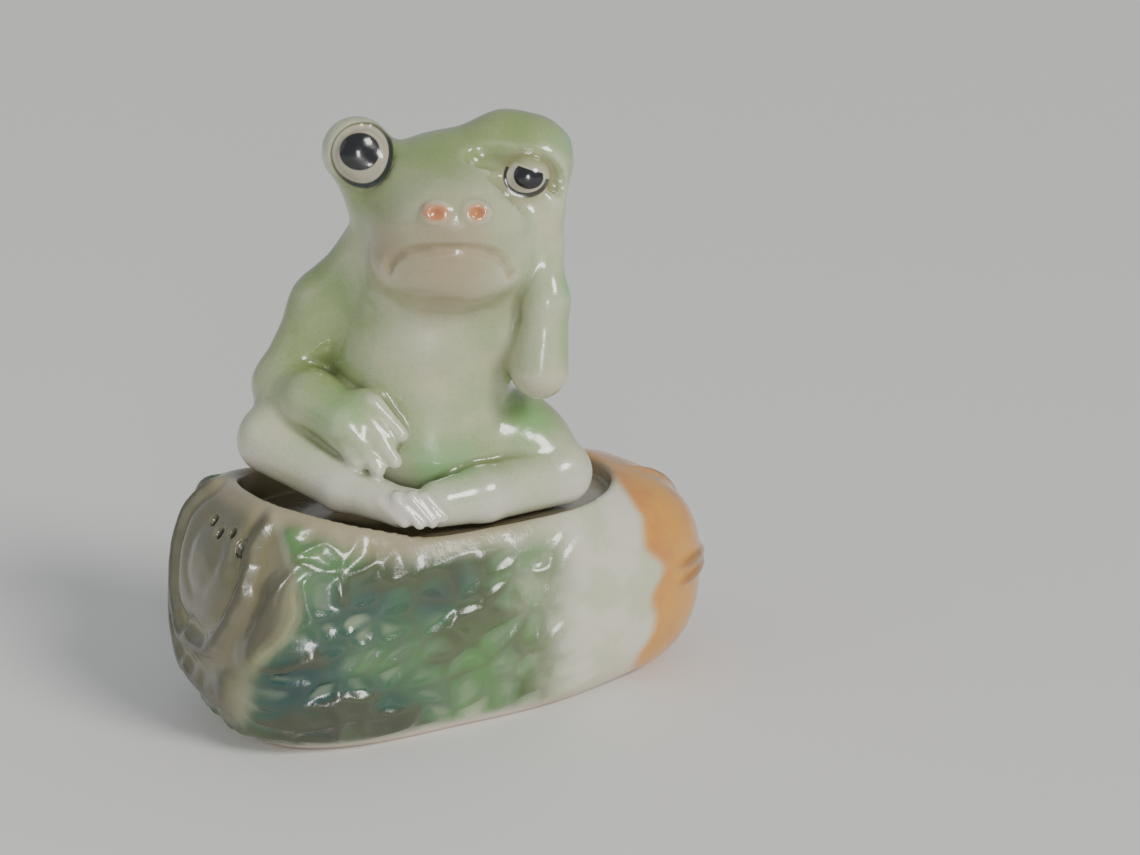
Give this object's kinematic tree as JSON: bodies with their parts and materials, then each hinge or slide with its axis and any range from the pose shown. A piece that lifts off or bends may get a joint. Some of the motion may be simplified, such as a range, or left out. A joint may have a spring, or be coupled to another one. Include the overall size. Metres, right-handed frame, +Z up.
{
  "type": "nesting salt and pepper shaker set",
  "caption": "Glazed pottery shaker pair: a cross-legged frog leaning on one hand sits in a recess in a cabbage lying on its side; each has a cork in its fill hole.",
  "frame": {"origin": "middle of the cabbage's flat foot, on the table", "axes": "+X from the cabbage's leaves to its butt end, +Z up, -Y towards the viewer's side that the frog half faces"},
  "size_m": [0.0933, 0.0482, 0.0992],
  "materials": {
    "cabbage_glaze": "glossy clear glaze over airbrushed greens, cream and ochre",
    "frog_glaze": "glossy clear glaze over airbrushed pale green and cream",
    "cork": "natural cork, matt"
  },
  "bodies": {
    "cabbage": {"cabbage_shell": "cabbage_glaze"},
    "frog": {"frog_shell": "frog_glaze"},
    "cabbage_cork": {"cabbage_stopper": "cork"},
    "frog_cork": {"frog_stopper": "cork"}
  },
  "joints": [
    {"name": "frog_lift", "type": "slide", "parent": "cabbage", "child": "frog", "axis": [0, 0, 1], "range_m": [0, 0.06]},
    {"name": "frog_stopper_pull", "type": "slide", "parent": "frog", "child": "frog_cork", "axis": [0, 0, -1], "range_m": [0, 0.018]},
    {"name": "cabbage_stopper_pull", "type": "slide", "parent": "cabbage", "child": "cabbage_cork", "axis": [0, 0, -1], "range_m": [0, 0.018]}
  ],
  "couplings": [
    {"joint": "frog_stopper_pull", "follows": "frog_lift", "ratio": 0.3}
  ]
}
